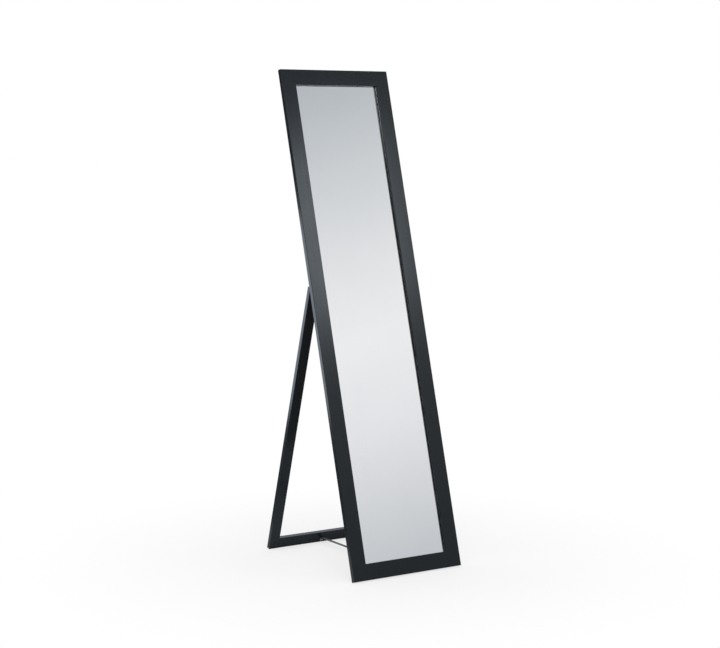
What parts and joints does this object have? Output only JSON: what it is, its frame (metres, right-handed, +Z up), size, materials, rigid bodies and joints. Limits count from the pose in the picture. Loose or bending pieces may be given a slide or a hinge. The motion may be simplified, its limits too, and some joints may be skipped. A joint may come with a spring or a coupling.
{
  "type": "standing mirror",
  "caption": "Tall narrow mirror in a flat mitred frame, leaning on a hinged stand frame that folds flat against its back and is held open by a folding stay near the floor.",
  "frame": {"origin": "centre of the footprint at floor level, under the middle of the part's bounding box", "axes": "+Z up, -Y the way the glass faces, +X across the frame, to the right of someone who faces the glass"},
  "size_m": [0.4, 0.5308, 1.5441],
  "materials": {
    "frame_lacquer": "smooth black lacquer, half gloss, on a moulded wood profile",
    "stand_lacquer": "the same black lacquer on flat wood bars",
    "silvered_glass": "clear float glass silvered on its back",
    "backing_board": "bare brown hardboard",
    "dowel_wood": "bare beech",
    "spring_steel": "thin bare steel strip",
    "hinge_steel": "zinc-plated steel",
    "stay_steel": "dull dark grey coating on steel strip",
    "bright_steel": "zinc-plated steel"
  },
  "bodies": {
    "mirror_frame": {"stile_left": "frame_lacquer", "stile_right": "frame_lacquer", "rail_top": "frame_lacquer", "rail_bottom": "frame_lacquer", "mirror_glass": "silvered_glass", "backing_board": "backing_board", "glazing_points": "spring_steel", "corner_nails": "spring_steel", "hinge_leaf_fixed_left": "hinge_steel", "hinge_leaf_fixed_right": "hinge_steel", "hinge_screws_fixed": "hinge_steel", "stay_bracket_front": "stay_steel", "stay_screws_front": "bright_steel", "stay_pin_front": "bright_steel"},
    "stand": {"stand_post_left": "stand_lacquer", "stand_post_right": "stand_lacquer", "stand_rail_top": "stand_lacquer", "stand_rail_bottom": "stand_lacquer", "stand_dowels": "dowel_wood", "hinge_leaf_swing_left": "hinge_steel", "hinge_leaf_swing_right": "hinge_steel", "hinge_screws_swing": "hinge_steel", "hinge_pin_left": "hinge_steel", "hinge_pin_right": "hinge_steel", "stay_bracket_rear": "stay_steel", "stay_screws_rear": "bright_steel", "stay_pin_rear": "bright_steel"},
    "stay_front": {"stay_link_front": "stay_steel", "knee_pin_front": "bright_steel"},
    "stay_rear": {"stay_link_rear": "stay_steel", "knee_pin_rear": "bright_steel"}
  },
  "joints": [
    {"name": "stand_fold", "type": "hinge", "parent": "mirror_frame", "child": "stand", "pos_m": [0, -0.00261, 0.87434], "axis": [-1, 0, 0], "range_deg": [0, 31.4]},
    {"name": "front_link_fold", "type": "hinge", "parent": "mirror_frame", "child": "stay_front", "pos_m": [-0.00615, -0.24449, 0.01161], "axis": [1, 0, 0], "range_deg": [0, 73.9]},
    {"name": "rear_link_fold", "type": "hinge", "parent": "stand", "child": "stay_rear", "pos_m": [0.00615, 0.24375, 0.01302], "axis": [-1, 0, 0], "range_deg": [0, 74]}
  ],
  "couplings": [
    {"joint": "front_link_fold", "follows": "stand_fold", "ratio": 2.3527},
    {"joint": "rear_link_fold", "follows": "stand_fold", "ratio": 2.3537}
  ]
}
